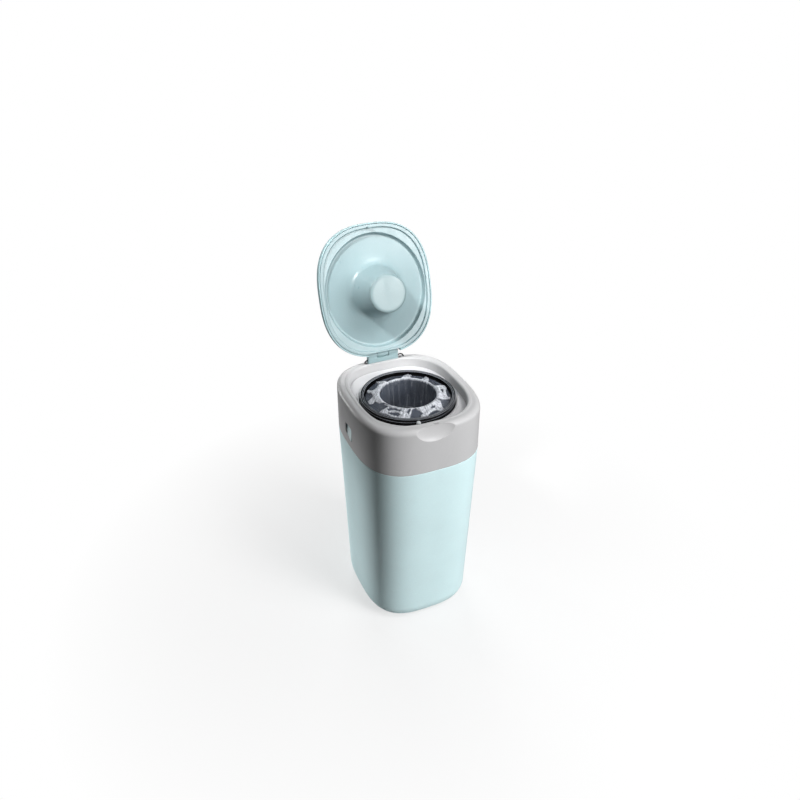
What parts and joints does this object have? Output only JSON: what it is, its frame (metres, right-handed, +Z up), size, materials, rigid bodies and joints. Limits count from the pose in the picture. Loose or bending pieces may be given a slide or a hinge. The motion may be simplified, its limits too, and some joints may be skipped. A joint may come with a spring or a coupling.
{
  "type": "nappy bin",
  "caption": "Nappy disposal bin: tapered tub, tilting grey head, domed lid with a plunger, and a film cassette in a ring that turns.",
  "frame": {"origin": "centre of the flat base, where the bin stands on the floor", "axes": "+Z up, front (thumb scoop) towards -Y, hinges at +Y, +X to the right seen from the front"},
  "size_m": [0.2436, 0.3379, 0.746],
  "materials": {
    "mint_plastic": "satin moulded plastic",
    "mint_clear_plastic": "slightly translucent glossy moulded plastic",
    "grey_plastic": "satin moulded plastic",
    "pale_plastic": "satin moulded plastic",
    "black_gloss": "glossy moulded plastic",
    "slate_plastic": "dark translucent moulded plastic",
    "white_plastic": "plain moulded plastic",
    "film": "thin crumpled translucent film",
    "steel": "plain steel wire and pressings"
  },
  "bodies": {
    "tub": {"tub_shell": "mint_plastic", "head_hinge_pin": "steel"},
    "head": {"head_shell": "grey_plastic", "cassette_deck": "pale_plastic", "click_pawl": "white_plastic", "film_grip": "white_plastic", "grip_screw_1": "steel", "grip_screw_2": "steel", "grip_screw_3": "steel", "grip_screw_4": "steel", "hinge_block": "mint_plastic", "block_clip_left": "steel", "block_clip_right": "steel", "lid_hinge_pin": "steel", "film_cutter": "white_plastic", "cutter_blade": "steel"},
    "turning_ring": {"carrier_ring": "black_gloss", "cassette_tray": "slate_plastic", "cassette_cap": "slate_plastic", "film_pack": "film", "film_collar": "film", "film_sleeve": "film"},
    "lid": {"lid_outer": "mint_plastic", "lid_inner": "mint_clear_plastic", "plunger_wall": "mint_clear_plastic", "plunger_tip": "mint_clear_plastic"},
    "left_catch": {"catch_button_left": "mint_plastic", "catch_latch_left": "white_plastic"},
    "right_catch": {"catch_button_right": "mint_plastic", "catch_latch_right": "white_plastic"}
  },
  "joints": [
    {"name": "head_hinge", "type": "hinge", "parent": "tub", "child": "head", "pos_m": [0, 0.1425, 0.3848], "axis": [-1, 0, 0], "range_deg": [0, 95]},
    {"name": "lid_hinge", "type": "hinge", "parent": "head", "child": "lid", "pos_m": [0, 0.1219, 0.497], "axis": [1, 0, 0], "range_deg": [0, 107.3]},
    {"name": "ring_turn", "type": "hinge", "parent": "head", "child": "turning_ring", "pos_m": [0, -0.0047, 0.4731], "axis": [0, 0, 1], "continuous": true},
    {"name": "left_catch_push", "type": "slide", "parent": "head", "child": "left_catch", "axis": [1, 0, 0], "range_m": [0, 0.004], "stiffness_N_per_m": 600},
    {"name": "right_catch_push", "type": "slide", "parent": "head", "child": "right_catch", "axis": [-1, 0, 0], "range_m": [0, 0.004], "stiffness_N_per_m": 600}
  ]
}
